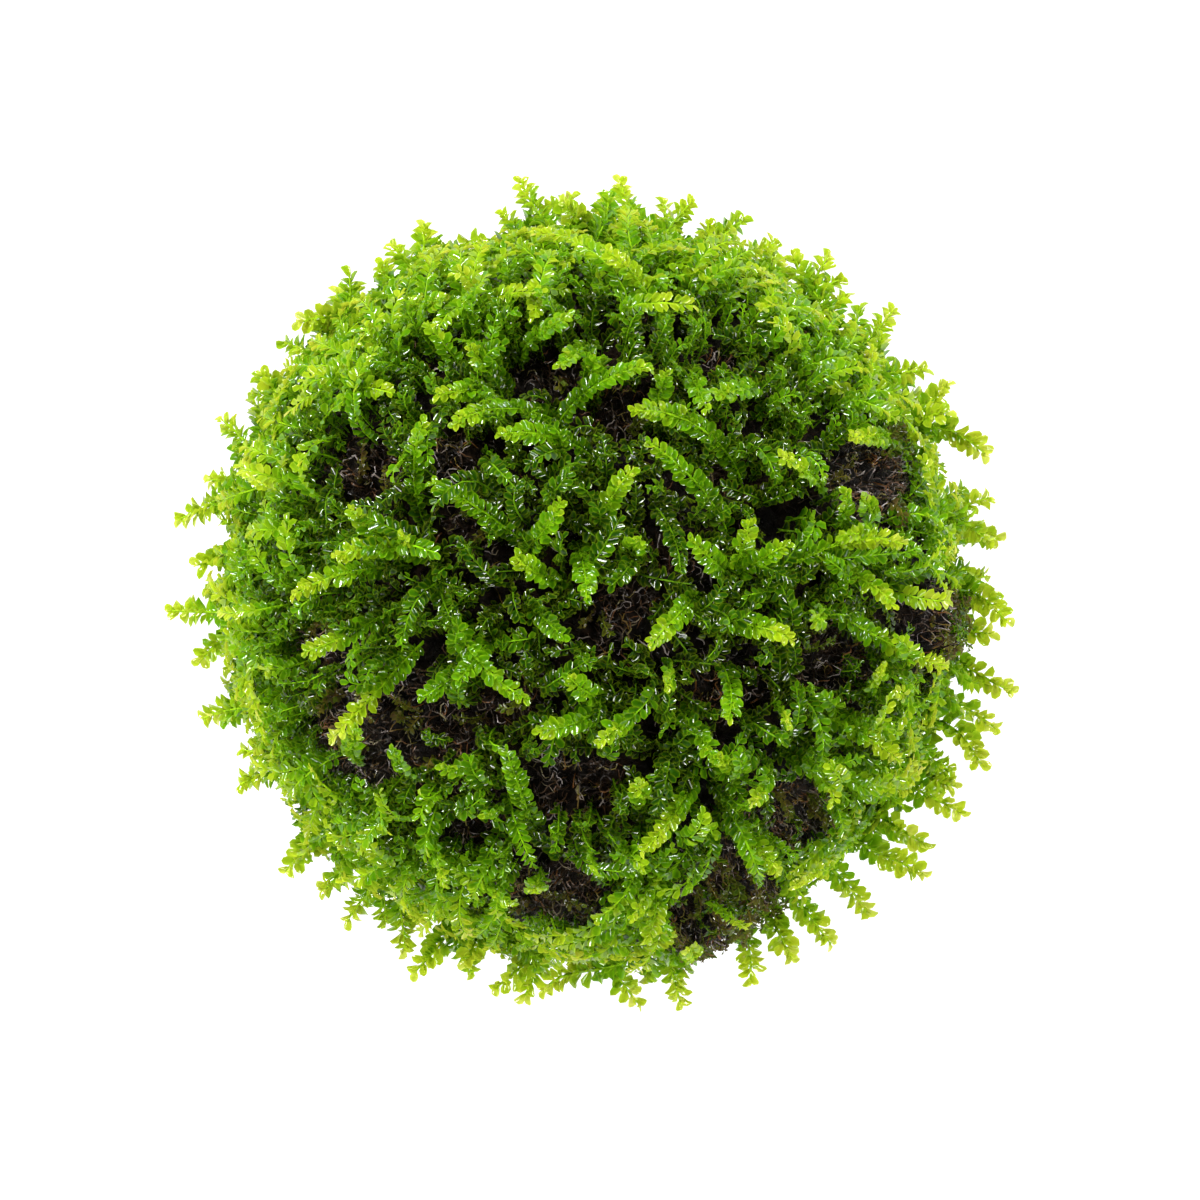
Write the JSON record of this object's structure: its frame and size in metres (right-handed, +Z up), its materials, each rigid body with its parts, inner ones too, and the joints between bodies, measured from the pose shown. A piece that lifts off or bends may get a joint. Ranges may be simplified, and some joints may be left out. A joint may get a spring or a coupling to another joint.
{
  "type": "moss ball",
  "caption": "Ball of leafy aquarium moss: tufts of leafy shoots rooted all round a dark peat core, resting on a small flat spot.",
  "frame": {"origin": "centre of the flat spot under the ball, where its base tuft is pressed flat on the surface that it rests on", "axes": "+Z up through the ball's centre; +X and +Y are level and run to the right and to the top of the view from straight above"},
  "size_m": [0.0789, 0.0781, 0.0764],
  "materials": {
    "peat": "wet, dark, fibrous peat with matted brown rhizoids",
    "moss": "wet, thin, glossy leaves that let light through, yellow-green at the tips and deep green inside"
  },
  "bodies": {
    "root": {"moss_tuft_base": "moss", "moss_tuft_low_01": "moss", "moss_tuft_low_02": "moss", "moss_tuft_low_03": "moss", "moss_tuft_low_04": "moss", "moss_tuft_low_05": "moss", "moss_tuft_low_06": "moss", "moss_tuft_low_07": "moss", "moss_tuft_low_08": "moss", "moss_tuft_low_09": "moss", "moss_tuft_low_10": "moss", "moss_tuft_low_11": "moss", "moss_tuft_low_12": "moss", "moss_tuft_rim_01": "moss", "moss_tuft_rim_02": "moss", "moss_tuft_rim_03": "moss", "moss_tuft_rim_04": "moss", "moss_tuft_rim_05": "moss", "moss_tuft_rim_06": "moss", "moss_tuft_rim_07": "moss", "moss_tuft_rim_08": "moss", "moss_tuft_rim_09": "moss", "moss_tuft_rim_10": "moss", "moss_tuft_rim_11": "moss", "moss_tuft_rim_12": "moss", "moss_tuft_rim_13": "moss", "moss_tuft_top_01": "moss", "moss_tuft_top_02": "moss", "moss_tuft_top_03": "moss", "moss_tuft_top_04": "moss", "moss_tuft_top_05": "moss", "moss_tuft_top_06": "moss", "moss_tuft_top_07": "moss", "moss_tuft_top_08": "moss", "moss_tuft_top_09": "moss", "moss_tuft_top_10": "moss", "moss_tuft_top_11": "moss", "moss_tuft_top_12": "moss", "moss_tuft_top_13": "moss", "moss_tuft_top_14": "moss", "moss_tuft_top_15": "moss", "moss_tuft_top_16": "moss", "moss_tuft_top_17": "moss", "moss_tuft_top_18": "moss", "moss_tuft_top_19": "moss", "moss_tuft_top_20": "moss", "moss_tuft_top_21": "moss", "moss_tuft_top_22": "moss", "moss_tuft_top_23": "moss", "moss_tuft_top_24": "moss", "moss_tuft_top_25": "moss", "moss_tuft_under_01": "moss", "moss_tuft_under_02": "moss", "moss_tuft_under_03": "moss", "moss_tuft_under_04": "moss", "moss_tuft_under_05": "moss", "moss_tuft_under_06": "moss", "moss_tuft_under_07": "moss", "peat_core": "peat"}
  },
  "joints": []
}
